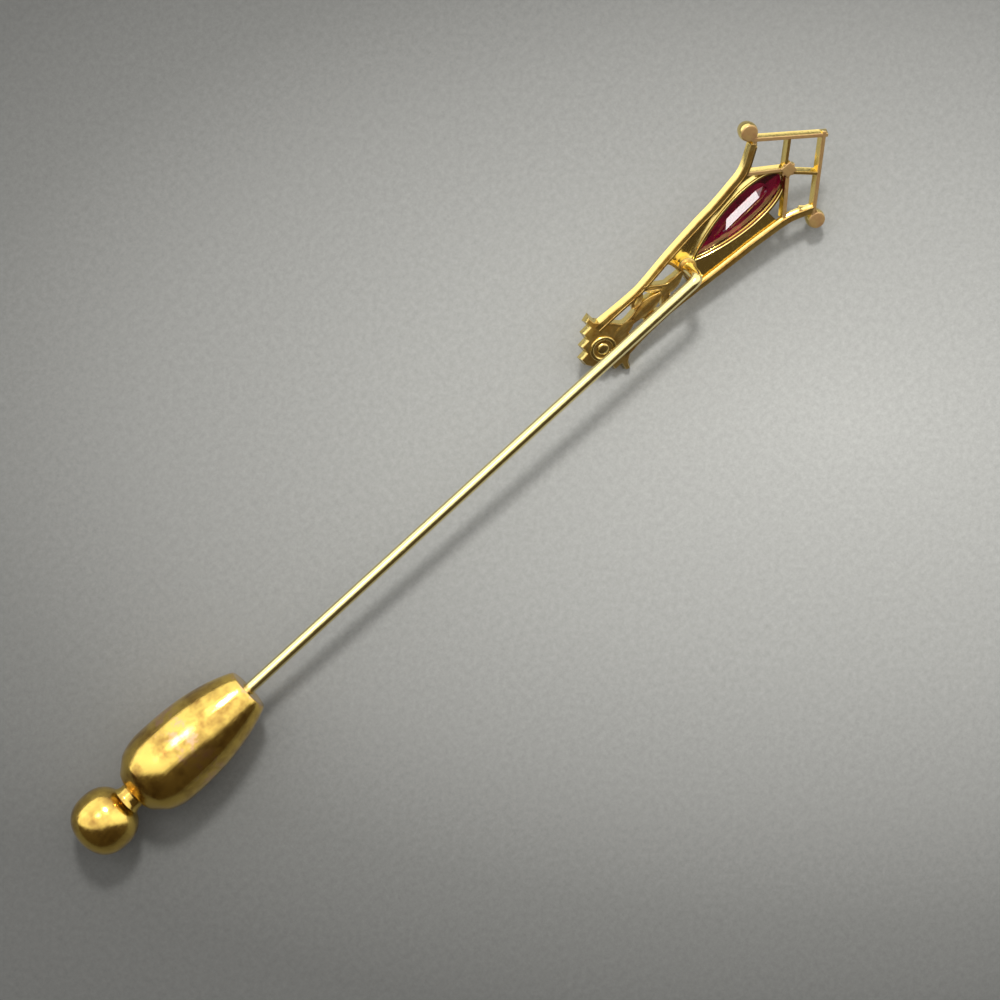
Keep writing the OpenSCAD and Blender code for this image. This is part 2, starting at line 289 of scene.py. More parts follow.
def half_ball(radius, height, count):
    """Profile of the half ball that hangs under a height, from its pole to its widest ring."""
    a = np.linspace(0, np.pi / 2, count)
    return np.stack([radius * np.sin(a), height - radius * np.cos(a)], 1)


def rounded(profile, radius, steps):
    """A profile with its inner corners rounded: each corner becomes a parabola between the
    points at the radius's distance along its two sides."""
    p = np.asarray(profile, float)
    out = [p[:1]]
    t = np.linspace(0, 1, steps)[:, None]
    for a, b, c in zip(p[:-2], p[1:-1], p[2:]):
        u, v = a - b, c - b
        lu, lv = np.linalg.norm(u), np.linalg.norm(v)
        start = b + u / lu * min(radius, lu * LONGEST_ROUND)
        end = b + v / lv * min(radius, lv * LONGEST_ROUND)
        out.append((1 - t) ** 2 * start + 2 * t * (1 - t) * b + t ** 2 * end)
    return np.vstack(out + [p[-1:]])


def moved(solid, x=0.0, y=0.0, z=0.0, spin=0.0):
    """A shell turned about z by spin degrees and set down at a place."""
    points, faces = solid
    return points @ turn(2, spin).T + (x, y, z), faces


# Pieces

# In metres: nearer points become one, and a shorter edge is dissolved
MERGE_UNDER = 2e-7
DISSOLVE_UNDER = 1e-7


def linked(name, data):
    """A new object in the scene."""
    piece = bpy.data.objects.new(name, data)
    bpy.context.scene.collection.objects.link(piece)
    return piece


def put(name, solids, place, material, body, node, sharp=35.0, flat=False):
    """Makes the piece: points go by the place's turn and origin into metres, doubles at poles
    are merged, and edges sharper than the angle in degrees stay sharp. The attribute "level"
    keeps each point's own height in millimetres."""
    m, origin = place
    points, faces = joined(solids)
    mesh = bpy.data.meshes.new(name)
    mesh.from_pydata(((points @ m.T + origin) * MM).tolist(), [], faces)
    level = mesh.attributes.new("level", "FLOAT", "POINT")
    level.data.foreach_set("value", points[:, 2].astype(np.float32))
    work = bmesh.new()
    work.from_mesh(mesh)
    bmesh.ops.remove_doubles(work, verts=work.verts, dist=MERGE_UNDER)
    bmesh.ops.dissolve_degenerate(work, dist=DISSOLVE_UNDER, edges=work.edges)
    work.to_mesh(mesh)
    work.free()
    if flat:
        mesh.shade_flat()
    else:
        mesh.shade_smooth()
        mesh.set_sharp_from_angle(angle=np.radians(sharp))
    mesh.materials.append(material)
    piece = linked(name, mesh)
    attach(piece, body)
    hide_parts(node)


def put_on_head(name, solids, material, sharp=35.0):
    """Makes a gold piece that is drawn in the head's frame."""
    put(name, solids, HEAD_PLACE, material, "pin", HEAD, sharp)


# Materials

# Sockets of the mix node that are for colours; those for numbers have the same names
MIX_FACTOR = 0
MIX_A = 6
MIX_B = 7
MIX_RESULT = 2
BLACK = (0.0, 0.0, 0.0)
# Turn that lays a texture along the head
ALONG_HEAD = tuple(np.radians((HEAD_ROLL, -HEAD_PITCH, HEAD_YAW)))
# Half of the heights, in millimetres, that the ramp of the film, which is partly painted shade,
# covers round the head's flat back
LEVEL_REACH = 0.5
# The clutch and its knob start here along the table's x, and are this long
CLUTCH_REAR = -35.0
CLUTCH_SPAN = 16.0


class Nodes:
    """Node tree of a material or world; shader is the node that the others lead to."""

    def __init__(self, owner, shader="Principled BSDF"):
        owner.use_nodes = True
        self.owner = owner
        self.tree = owner.node_tree
        self.shader = self.tree.nodes[shader]

    def give(self, socket, value):
        """Joins the socket to the value where that is a socket too, or sets it."""
        if isinstance(value, bpy.types.NodeSocket):
            self.tree.links.new(value, socket)
        else:
            socket.default_value = value

    def feed(self, **values):
        """Gives the shader its inputs; an underscore stands for a space."""
        for key, value in values.items():
            self.give(self.shader.inputs[key.replace("_", " ")], value)

    def add(self, kind, **values):
        """A new node, given its inputs and settings by name."""
        node = self.tree.nodes.new(kind)
        for key, value in values.items():
            if key in node.inputs:
                self.give(node.inputs[key], value)
            else:
                setattr(node, key, value)
        return node

    def object_coordinates(self, scale=(1, 1, 1), rotation=(0, 0, 0)):
        """Object coordinates in millimetres, stretched by scale after a turn."""
        place = self.add("ShaderNodeTexCoord").outputs["Object"]
        lie = self.add("ShaderNodeMapping", vector_type="TEXTURE", Vector=place,
                       Rotation=rotation)
        stretch = self.add("ShaderNodeMapping", Vector=lie.outputs["Vector"],
                           Scale=[v / MM for v in scale])
        return stretch.outputs["Vector"]

    def combined(self, operation, *values):
        """The product, sum or other operation of two or three values."""
        node = self.add("ShaderNodeMath", operation=operation)
        for socket, value in zip(node.inputs, values):
            self.give(socket, value)
        return node.outputs["Value"]

    def product(self, a, b):
        return self.combined("MULTIPLY", a, b)

    def total(self, a, b):
        return self.combined("ADD", a, b)

    def noise(self, vector, scale, detail, roughness):
        """Cloudy noise with about scale waves to each unit of the vector."""
        node = self.add("ShaderNodeTexNoise", Vector=vector, Scale=scale, Detail=detail,
                        Roughness=roughness)
        return node.outputs["Fac"]

    def ramp(self, value, stops):
        """Colour ramp through (position, colour or grey) stops."""
        node = self.add("ShaderNodeValToRGB", Fac=value)
        band = node.color_ramp
        while len(band.elements) < len(stops):
            band.elements.new(0.5)
        for element, (position, shade) in zip(band.elements, stops):
            element.position = position
            element.color = (*shade, 1) if isinstance(shade, tuple) else (shade,) * 3 + (1,)
        return node.outputs["Color"]

    def mix(self, factor, a, b):
        """Colour a where the factor is 0 and b where it is 1."""
        node = self.add("ShaderNodeMix", data_type="RGBA")
        self.give(node.inputs[MIX_FACTOR], factor)
        for index, value in ((MIX_A, a), (MIX_B, b)):
            opaque = value if isinstance(value, bpy.types.NodeSocket) else (*value, 1)
            self.give(node.inputs[index], opaque)
        return node.outputs[MIX_RESULT]

    def bump(self, height, distance, strength, after=None):
        """Normal bumped by up to the distance in millimetres, over the normal after."""
        node = self.add("ShaderNodeBump", Height=height, Distance=distance * MM,
                        Strength=strength)
        if after:
            self.give(node.inputs["Normal"], after)
        return node.outputs["Normal"]


# Each gold: clean colour, film's colour, least and most film, satin, and the scratches' turn. On the
# head and the lattice the film on the flat back is partly painted shade
GOLDS = {
    "head_gold_with_painted_shade": ("gold", "tarnish_and_painted_shade", (0.55, 1.0), 0.12, ALONG_HEAD),
    "lattice_gold_with_painted_shade": ("gold", "tan_film_and_painted_shade", (0.75, 1.0), 0.65, ALONG_HEAD),
    "collet_gold": ("gold", "plate_film", (0.0, 0.35), 0.0, ALONG_HEAD),
    "stem_gold": ("wire", "gold", (0.0, 0.3), 0.0, (0, 0, 0)),
}


def gold(name):
    """The gold of that name in GOLDS, made the first time it is asked for: clean, with a film on its
    flat back, which on the head and the lattice is partly painted shade. The film's share goes by
    soft blotches from the least to the most, and by the point's own height; where it lies the gold
    is rougher, and by satin less of a metal."""
    made = bpy.data.materials.get(name)
    if made:
        return made
    clean, film, (low, high), satin, along = GOLDS[name]
    finish = bpy.context.scene.pin_finish
    n = Nodes(bpy.data.materials.new(name))
    plain = n.object_coordinates()
    level = n.add("ShaderNodeAttribute", attribute_name="level").outputs["Fac"]
    blotch = n.ramp(n.noise(plain, 1.6, 4, 0.6), [(0.35, low), (0.65, high)])
    # On the head's and the lattice's flat back this film is partly painted shade: it darkens the
    # back faces as their dim reflection would
    face = n.ramp(n.total(level, LEVEL_REACH),
                  [(0.40, 0.0), (0.47, 1.0), (0.62, 1.0), (0.70, 0.3)])
    share = n.product(blotch, face)
    fine = n.ramp(n.noise(plain, 5.0, 3, 0.6), [(0.3, 0.10), (0.7, 0.22)])
    rough = n.mix(share, BLACK, (0.30, 0.30, 0.30))
    scratch = n.noise(n.object_coordinates((0.25, 6.0, 6.0), along), 2.2, 2, 0.6)
    dents = n.bump(n.noise(plain, 2.2, 2, 0.5), 0.010, 0.6)
    n.feed(Base_Color=n.mix(share, getattr(finish, clean), getattr(finish, film)),
           Metallic=n.ramp(share, [(0.0, 1.0), (1.0, 1.0 - satin)]) if satin else 1.0,
           Roughness=n.total(fine, rough),
           Normal=n.bump(scratch, 0.003, 0.5, dents))
    return n.owner


def ruby():
    """Clear red stone with a faint cloud."""
    f = bpy.context.scene.pin_finish
    n = Nodes(bpy.data.materials.new("ruby"))
    cloud = n.ramp(n.noise(n.object_coordinates(), 1.2, 2, 0.5), [(0.35, 0.0), (0.7, 1.0)])
    n.feed(Base_Color=n.mix(cloud, f.stone, f.stone_dark), IOR=1.76, Roughness=0.02,
           Transmission_Weight=0.85, Specular_IOR_Level=0.9)
    return n.owner


def plated(name):
    """The clutch's plate: bright gold, rubbed to a pink base in a band round the middle and at
    the front edge, with fine scratches along it and a brown film in patches."""
    f = bpy.context.scene.pin_finish
    n = Nodes(bpy.data.materials.new(name))
    plain = n.object_coordinates()
    streaks = n.noise(n.object_coordinates((0.12, 3.0, 3.0)), 2.0, 4, 0.65)
    film = n.ramp(n.noise(plain, 0.5, 3, 0.6), [(0.45, 0.0), (0.7, 1.0)])
    place = n.add("ShaderNodeSeparateXYZ", Vector=plain)
    share = n.product(n.total(place.outputs["X"], -CLUTCH_REAR), 1 / CLUTCH_SPAN)
    band = n.ramp(share, [(0.15, 0.75), (0.30, 0.55), (0.56, 0.65), (0.63, 1.0), (0.70, 1.0),
                          (0.77, 0.62), (0.965, 0.6), (0.985, 1.0)])
    worn = n.product(n.noise(plain, 1.3, 5, 0.75), band)
    rubbed = n.ramp(worn, [(0.46, 0.0), (0.60, 0.8)])
    n.feed(Base_Color=n.mix(rubbed, n.mix(film, f.plate, f.plate_film), f.plate_rubbed),
           Metallic=1.0,
           Roughness=n.ramp(streaks, [(0.3, 0.09), (0.7, 0.24)]),
           Normal=n.bump(streaks, 0.012, 0.6))
    return n.owner


# Properties

def size(name, description, millimetres):
    """A length property whose default is given in millimetres."""
    return FloatProperty(name=name, description=description, default=millimetres * MM,
                         min=0.0, precision=5, unit="LENGTH")


def colour(name, description, rgb):
    """A colour property."""
    return FloatVectorProperty(name=name, description=description, default=rgb, size=3,
                               min=0.0, max=1.0, subtype="COLOR")


class PinHeadSizes(bpy.types.PropertyGroup):
    """Sizes of the pierced head"""
    plate_t: size("Plate", "Thickness of the pierced plate", 0.53)
    bar_w: size("Bar", "Width of the lattice's bars at their foot", 0.58)
    bar_t: size("Bar depth", "Depth of the rails and bars", 0.46)
    edge: size("Edge", "Radius of the worn edges", 0.055)
    draft: size("Draft", "How much further out a wall's foot is than its top", 0.16)
    lattice_x: size("Lattice", "Distance from the small collet to the lattice's middle", 16.9)
    lattice_r: size("Half diagonal", "Half diagonal of the lattice square", 3.45)
    lattice_slip: size("Slip", "How far the right corner was soldered down the head", 0.5)
    knob_r: size("Knob", "Radius of the side knobs", 0.62)
    collet_r: size("Collet", "Outer radius of the small collet", 0.95)


class PinSettingSizes(bpy.types.PropertyGroup):
    """Sizes of the pear setting and its stone"""
    shift: size("Shift", "Distance of the setting's axis from the head's, to the right", 0.15)
    tip: size("Tip", "Place of the bezel's pointed end", 8.2)
    length: size("Length", "Length of the bezel", 8.55)
    half: size("Half width", "Half width of the bezel", 1.57)
    wall: size("Wall", "Thickness of the bezel's wall", 0.2)
    rim: size("Rim", "Depth of the bezel's rim below the plate's back", 0.26)
    foot: size("Foot", "Depth of the bezel's foot below the plate's back", 1.15)
    girdle: size("Girdle", "Depth of the stone's girdle below the plate's back", 0.75)


class PinStemSizes(bpy.types.PropertyGroup):
    """Sizes of the stem"""
    wire_d: size("Wire", "Diameter of the stem's wire", 0.8)
    post_d: size("Post", "Diameter of the stem's post", 0.9)
    taper_d: size("Taper", "Diameter of the stem where its sharp point starts", 0.7)
    hidden_len: size("Hidden length", "Length of the stem inside the clutch", 11.4)
    point_len: size("Point", "Length of the sharp point", 3.0)


class PinClutchSizes(bpy.types.PropertyGroup):
    """Sizes of the clutch and its pull knob"""
    nose_r: size("Nose", "Radius of the front face", 1.56)
    shoulder_z: size("Shoulder", "From the front face to the shoulder", 9.2)
    shoulder_r: size("Shoulder radius", "Radius of the shoulder's edge", 2.44)
    chamber_r: size("Chamber", "Radius of the chamber inside", 1.75)
    ball_r: size("Ball", "Radius of the ball", 2.2)
    ball_half: size("Ball half length", "Half length of the ball along its axis", 2.12)
    ball_z: size("Ball place", "From the front face to the ball's middle", 13.07)
    neck_r: size("Neck", "Radius of the neck", 0.93)


class PinFinish(bpy.types.PropertyGroup):
    """Colours of the metals, the stone and the stage"""
    gold: colour("Gold", "Clean gold of the head", (0.87, 0.68, 0.24))
    # Brown on the head's flat back faces: partly tarnish, partly painted shade
    tarnish_and_painted_shade: colour("Tarnish", "Brown film on the head's back", (0.34, 0.18, 0.035))
    # Tan on the lattice's flat back faces: partly a matt film, partly painted shade
    tan_film_and_painted_shade: colour("Tan film", "Matt film on the lattice's back", (0.37, 0.205, 0.085))
    wire: colour("Wire", "Paler gold of the stem", (0.84, 0.72, 0.34))
    stone: colour("Stone", "Red of the stone", (0.34, 0.004, 0.045))
    stone_dark: colour("Stone, dark", "Darker cloud in the stone", (0.18, 0.002, 0.03))
    plate: colour("Plate", "Gold plate of the clutch", (0.80, 0.56, 0.13))
    plate_film: colour("Film", "Brown film on the plate", (0.30, 0.16, 0.04))
    plate_rubbed: colour("Rubbed", "Pink base where the plate has rubbed", (0.74, 0.44, 0.28))
    floor: colour("Floor", "Pale grey of the table", (0.362, 0.366, 0.350))


class PinStage(bpy.types.PropertyGroup):
    """Lights and camera"""
    camera_height: size("Camera height", "Height of the camera over the table", 203.0)
    zenith: FloatProperty(name="Light zenith", description="Angle of the light from overhead",
                          default=np.radians(36.0), subtype="ANGLE")
    light_power: FloatProperty(name="Light power", description="Power of the main light",
                               default=2.75, min=0.0, unit="POWER")
    light_size: size("Light size", "Width of the main light", 95.0)
    window_power: FloatProperty(name="Window power", description="Power of the window's light",
                                default=0.28, min=0.0, unit="POWER")
    window_size: size("Window size", "Width of the window's light", 120.0)


GROUPS = {"pin_head": PinHeadSizes, "pin_setting": PinSettingSizes, "pin_stem": PinStemSizes,
          "pin_clutch": PinClutchSizes, "pin_finish": PinFinish, "pin_stage": PinStage}


def lengths(group):
    """The lengths of a property group in millimetres, under their own names."""
    values = getattr(bpy.context.scene, group)
    return SimpleNamespace(**{key: getattr(values, key) / MM
                              for key in GROUPS[group].__annotations__})


# The head

# Outline of the stepped end, from the right rail round the point to the left rail
STEPS = [(0.62, -2.28), (0.36, -2.84), (-0.10, -2.62), (0.00, -2.05), (-0.58, -2.03),
         (-0.54, -1.42), (-1.14, -1.38), (-1.12, -0.78), (-1.48, -0.58), (-1.72, -0.08),
         (-1.66, 0.66), (-1.08, 0.70), (-1.02, 1.34), (-0.40, 1.38), (-0.30, 1.98),
         (0.34, 2.00), (0.36, 2.52), (0.96, 2.68), (0.98, 2.05)]
# Its other side, back from the left rail to the right one
STEPS_INSIDE = [(1.30, 1.62), (1.74, 0.86), (2.16, 0.30), (2.12, -0.34), (1.66, -1.00),
                (1.30, -1.80)]
# Outer edges of the rails: place along the head, left edge, right edge
RAILS = np.array([(0.60, 1.75, 1.88), (2.50, 1.56, 1.76), (4.20, 1.44, 1.78), (5.20, 1.50, 1.82),
                  (7.10, 1.74, 2.04), (8.40, 1.87, 2.22), (10.50, 2.03, 2.50), (11.90, 2.09, 2.68),
                  (13.50, 2.27, 2.94), (15.00, 2.56, 3.26), (16.65, 3.58, 4.10)])
# Width of a rail's face at those places, and how much of it is left free at each side
RAIL_FACE = np.array([0.60, 0.44, 0.40, 0.40, 0.42, 0.44, 0.46, 0.48, 0.50, 0.52, 0.54])
RAIL_MARGIN = 0.04
# Where the lattice's inner and outer bars meet the left rail
INNER_JOINT = (14.85, 2.05)
OUTER_JOINT = (15.70, 2.50)
# For each unit that the right corner slipped down: its move out, its knob's moves down and
# out. Then a knob's distance from its corner.
SLIP_OUT = 0.75
KNOB_SLIP_DOWN = 1.5
KNOB_SLIP_OUT = 0.7
KNOB_REACH = 0.70
# The lattice's boss: a square and a diamond, a little nearer the apex than the middle
BOSS_SQUARE = [(-0.45, -0.4), (0.4, -0.45), (0.45, 0.38), (-0.36, 0.45)]
BOSS_DIAMOND = [(-0.4, -0.4), (0.4, -0.4), (0.4, 0.4), (-0.4, 0.4)]
BOSS_SHIFT = 0.2
# Stalks of the vine's left side: points, width and height. The right ones spread wider.
STALKS = [
    ([(1.3, 1.3), (1.65, 0.80), (2.1, 0.22), (2.9, 0.20), (3.6, 0.36)], 0.38, 0.0),
    ([(3.3, 0.36), (4.2, 0.38), (4.9, 0.20), (5.5, -0.04), (6.0, -0.06)], 0.38, 0.0),
    ([(4.8, 1.25), (5.25, 0.82), (5.8, 0.30), (6.3, 0.06), (7.4, 0.04)], 0.40, 0.02),
    ([(3.4, 0.62), (3.75, 1.0), (4.3, 1.16), (4.9, 1.2)], 0.30, -0.03),
    ([(7.0, 1.5), (7.25, 1.05), (7.35, 0.4), (7.5, 0.0)], 0.40, -0.02)]
RIGHT_SPREAD = 1.12
# Leaves: length, half width, rise and dish, then the place and, for a left one, the turn
MIDDLE_LEAVES = [((2.7, 0.46, 0.12, -0.10), (4.1, -0.05)),
                 ((2.1, 0.42, 0.06, -0.08), (6.2, -0.12)),
                 ((1.9, 0.40, 0.08, -0.06), (1.9, -0.05))]
PAIRED_LEAVES = [((1.35, 0.30, -0.06, 0.14), (3.9, 0.86), 16),
                 ((1.2, 0.16, 0.03, 0.04), (5.15, 0.62), -40)]
LEAF_FULLNESS = 0.85
VEIN_DEPTH = 0.05
VEIN_WIDTH = 0.16


class PIN_OT_stepped_end(bpy.types.Operator):
    """Outline of the plate's end with slanting walls and worn edges"""
    bl_idname = "pin.stepped_end"
    bl_label = "Stepped end"

    def execute(self, context):
        h = lengths("pin_head")
        solid = plate(STEPS + STEPS_INSIDE, -h.plate_t, 0.0, h.edge, h.draft)
        put_on_head("stepped_end", [solid], gold("head_gold_with_painted_shade"))
        return {"FINISHED"}


class PIN_OT_rails(bpy.types.Operator):
    """A bar with slanting walls along each outer edge, from the stepped end to the lattice,
    with a raised line along its inner side"""
    bl_idname = "pin.rails"
    bl_label = "Rails"

    def execute(self, context):
        h = lengths("pin_head")
        left_line = dict(width=0.16, low=-h.bar_t, high=0.05, edge=0.075)
        right_line = dict(width=0.38, low=-0.18, high=0.04, edge=0.03, draft=0.15)
        for name, column, way, raised in (("rail_left", 1, 1, left_line),
                                          ("rail_right", 2, -1, right_line)):
            edges = np.column_stack([RAILS[:, 0], RAILS[:, column], RAIL_FACE])
            x, outer, face = curve(edges, 90).T
            middle = np.stack([x, way * (outer - face / 2)], 1)
            inside = np.stack([x, way * (outer - face + RAIL_MARGIN)], 1)
            foot = face + 2 * h.draft - 2 * RAIL_MARGIN
            put_on_head(name, [ribbon(middle, foot, -h.bar_t, 0.0, h.edge, draft=h.draft),
                               ribbon(inside, **raised)], gold("head_gold_with_painted_shade"))
        return {"FINISHED"}


def lattice_corner(way):
    """The lattice's left (way 1) or right (way -1) corner, and how far it slipped down."""
    h = lengths("pin_head")
    slip = h.lattice_slip if way < 0 else 0.0
    return np.array([h.lattice_x - slip, way * (h.lattice_r + SLIP_OUT * slip)]), slip


class PIN_OT_lattice(bpy.types.Operator):
    """Bars round the square and inside it, and a boss of two squares. The two bars from the
    boss to the apex's sides are a piece of their own"""
    bl_idname = "pin.lattice"
    bl_label = "Lattice"

    def execute(self, context):
        h = lengths("pin_head")
        low, mid = -h.bar_t, h.lattice_x

        def bar(start, end, high, width=h.bar_w, crown=0.012):
            return ribbon([start, end], width, low, high, h.edge, crown, draft=h.draft)

        solids, inner = [], []
        for way in (1, -1):
            corner, slip = lattice_corner(way)
            apex = np.array([mid + h.lattice_r, 0])
            side = (corner + apex) / 2
            out = (corner - apex) / np.linalg.norm(corner - apex) * h.bar_w / 2
            solids += [bar(corner + out, apex - out, 0.0),
                       bar((mid + 0.1, way * 0.1),
                           (INNER_JOINT[0] - slip / 3, way * (INNER_JOINT[1] + slip)), -0.018),
                       bar((OUTER_JOINT[0], way * (OUTER_JOINT[1] + slip)), corner, -0.03)]
            inner.append(bar((mid, way * 0.1), side, -0.02, h.bar_w - 0.04, 0.0))
        for outline, high, spin in ((BOSS_SQUARE, 0.05, 0), (BOSS_DIAMOND, 0.03, 45)):
            solids.append(moved(plate(outline, low, high, edge=0.07), mid + BOSS_SHIFT, spin=spin))
        put_on_head("lattice", solids, gold("lattice_gold_with_painted_shade"))
        put_on_head("lattice_inner_bars", inner, gold("head_gold_with_painted_shade"))
        return {"FINISHED"}


class PIN_OT_side_knobs(bpy.types.Operator):
    """Round knobs at the lattice's side corners: flat worn backs over half balls"""
    bl_idname = "pin.side_knobs"
    bl_label = "Side knobs"

    def execute(self, context):
        h = lengths("pin_head")
        r = h.knob_r
        back = rounded([(r + 0.04, -0.5), (r + 0.04, -0.26), (r - 0.06, 0.03), (0, 0.05)], 0.08, 6)
        profile = np.vstack([half_ball(r, height=-0.6, count=14), back])
        solids = []
        for way in (1, -1):
            corner, slip = lattice_corner(way)
            spot = (h.lattice_x - KNOB_SLIP_DOWN * slip,
                    way * (h.lattice_r + KNOB_REACH + KNOB_SLIP_OUT * slip))
            solids += [moved(turned(profile, 48), *spot),
                       ribbon([corner, spot], 0.5, -h.plate_t, -0.02, 0.06, 0.02)]
        put_on_head("side_knobs", solids, gold("lattice_gold_with_painted_shade"))
        return {"FINISHED"}


class PIN_OT_small_collet(bpy.types.Operator):
    """A ring on the back with a cup in it, over the dome at the front"""
    bl_idname = "pin.small_collet"
    bl_label = "Small collet"

    def execute(self, context):
        r = lengths("pin_head").collet_r
        back = rounded([(r, -1.1), (r, 0.13), (r - 0.27, 0.13), (r - 0.36, -0.10), (0.50, -0.12),
                        (0.40, 0.10), (0.18, 0.16), (0.0, 0.16)], 0.12, 6)
        solid = turned(np.vstack([half_ball(r, height=-1.16, count=16), back[1:]]), 64)
        put_on_head("small_collet", [solid], gold("collet_gold"))
        return {"FINISHED"}


def leaf(length, half, rise, dish, floor, rows=28, cols=11):
    """Leaf: the half width is half times a power of one less the square of the share from its
    middle. The top is rise plus dish times the share across squared, both less towards the
    ends, with a vein cut along it."""
    u = np.linspace(-1, 1, rows)[:, None]
    v = np.linspace(-1, 1, cols)[None, :]
    fade = 1 - u ** 2
    x = np.broadcast_to(u * length / 2, (rows, cols))
    y = half * fade ** LEAF_FULLNESS * v
    vein = VEIN_DEPTH * fade * np.exp(-(v / VEIN_WIDTH) ** 2)
    z = rise * fade ** 0.5 + dish * fade * v ** 2 - vein
    return slab(np.stack([x, y, z], -1), np.stack([x, y, np.full_like(z, floor)], -1))


class PIN_OT_vine(bpy.types.Operator):
    """Winding stalks, three leaves on the axis and two pairs beside"""
    bl_idname = "pin.vine"
    bl_label = "Vine"

    def execute(self, context):
        low = -lengths("pin_head").plate_t
        stalks = []
        for way, spread in ((1, 1.0), (-1, RIGHT_SPREAD)):
            for points, width, high in STALKS:
                path = curve([(x, way * y * spread) for x, y in points], 26)
                stalks.append(ribbon(path, width, low, high, 0.05, 0.02, draft=0.09))
        leaves = [moved(leaf(*form, low), *place) for form, place in MIDDLE_LEAVES]
        leaves += [moved(leaf(*form, low), x, way * y, spin=way * spin)
                   for form, (x, y), spin in PAIRED_LEAVES for way in (1, -1)]
        put_on_head("vine_stalks", stalks, gold("head_gold_with_painted_shade"))
        put_on_head("vine_leaves", leaves, gold("head_gold_with_painted_shade"), 60)
        return {"FINISHED"}


# The setting and the solder

# How full a pear is for its half width, and how sharp its tip is
PEAR_FULLNESS = 2.17
PEAR_SHARPNESS = 0.378
# For each unit that a pear is drawn in, its tip moves by this
TIP_INSET = 1.6
# Webs of solder: where they start, and how far in from the rail's outer edge they end
WEB_START = 7.2
WEB_RAIL_INSET = 0.30
# The left web falls from this depth with this slope; the right one rises from the front
WEB_DEPTH = 0.30
WEB_SLOPE = 0.75
WEB_RISE = 0.25
WEB_THICKNESS = 0.06
# The blob round the post: its radius, how far it draws in, its curve's foot and height
BLOB_R = 0.66
BLOB_TAPER = 0.26
BLOB_FOOT = -0.08
BLOB_HEIGHT = 0.50


def pear(tip, length, half, sides):
    """Pear outline: at angle a the place is the tip plus half the length times one less cos a,
    and the half width is half times PEAR_FULLNESS, times the root of f(1 - f), times f to the
    power PEAR_SHARPNESS, where f is the share of the length from the tip."""
    a = np.linspace(0, 2 * np.pi, sides, endpoint=False)
    f = (1 - np.cos(a)) / 2
    y = half * np.sign(np.pi - a) * PEAR_FULLNESS * np.sqrt(f * (1 - f)) * f ** PEAR_SHARPNESS
    return np.stack([tip + length * f, y], 1)


def setting_outline(inset, sides):
    """The setting's pear round its own axis, drawn in by inset, and more at its tip."""
    s = lengths("pin_setting")
    return pear(s.tip + TIP_INSET * inset, s.length - (TIP_INSET + 1) * inset,
                s.half - inset, sides)


def bezel_outline(inset, sides=96):
    """The setting's pear in the head's frame."""
    return setting_outline(inset, sides) - (0, lengths("pin_setting").shift)


class PIN_OT_bezel(bpy.types.Operator):
    """A wall with a rolled rim, the bearing over the stone's girdle and a lip at the foot"""
    bl_idname = "pin.bezel"
    bl_label = "Bezel"

    def execute(self, context):
        s = lengths("pin_setting")
        # Each ring: how far its middle lies in, its width, foot, top, edge, crown and points
        rings = [(s.wall / 2, s.wall + 0.04, -s.foot, -s.rim + 0.04, s.wall * 0.5, 0.01, 3),
                 (s.wall + 0.03, 0.12, -s.girdle + 0.08, -s.girdle + 0.24, 0.03, 0.0, 1),
                 (s.wall + 0.015, 0.08, -s.foot, -s.foot + 0.08, 0.02, 0.0, 1)]
        put_on_head("bezel", [ribbon(bezel_outline(inset), *form, closed=True, flat=flat)
                              for inset, *form, flat in rings], gold("head_gold_with_painted_shade"))
        return {"FINISHED"}


class PIN_OT_solder(bpy.types.Operator):
    """Webs fill the gaps between the bezel's wall and the rails, and a blob holds the post"""
    bl_idname = "pin.solder"
    bl_label = "Solder"

    def execute(self, context):
        low = -lengths("pin_head").plate_t
        u = np.linspace(0, 1, 40)[:, None]
        v = np.linspace(0, 1, 12)[None, :]
        count = 200
        outline = bezel_outline(0.06, 2 * count)
        solids = []
        for way, column, run in ((1, 1, 8.3), (-1, 2, 7.0)):
            x = WEB_START + run * u
            outer = np.interp(x, RAILS[:, 0], RAILS[:, column]) - WEB_RAIL_INSET
            half = outline[:count] if way > 0 else outline[count:][::-1]
            inner = way * np.interp(x, half[:, 0], half[:, 1], left=0.0)
            y = way * (inner + (outer - inner) * v)
            fall = -WEB_DEPTH - WEB_SLOPE * np.abs(outer - inner) * v
            z = np.maximum(fall, low) if way > 0 else low + WEB_RISE * v
            top = np.stack([np.broadcast_to(x, y.shape), y, z + 0 * y], -1)
            bottom = top.copy()
            bottom[..., 2] = low - WEB_THICKNESS
            solids.append(slab(top, bottom))
        a = np.linspace(0, 1, 14)
        mound = np.stack([BLOB_R - BLOB_TAPER * np.sin(a * np.pi / 2),
                          BLOB_FOOT + BLOB_HEIGHT * a ** 1.6], 1)
        mound = np.vstack([[(0, low), (0.60, low), (BLOB_R, -0.12)], mound, [(0, 0.44)]])
        solids.append(moved(turned(mound, 40), POST_X))
        put_on_head("solder", solids, gold("head_gold_with_painted_shade"), 60)
        return {"FINISHED"}


# Rings of the stone from its table to its keel: shares of the outline along and across, height
# over the girdle, and the greatest half width, which cuts the long facets straight
STONE_RINGS = [(0.62, 0.62, -0.55, 2.0), (0.84, 0.84, -0.30, 2.0), (1.00, 1.00, -0.04, 2.0),
               (1.00, 1.00, 0.04, 2.0), (0.62, 0.46, 0.15, 0.40), (0.55, 0.05, 0.53, 0.053)]
# Share of the setting's length at which the rings draw together
STONE_HUB = 0.6


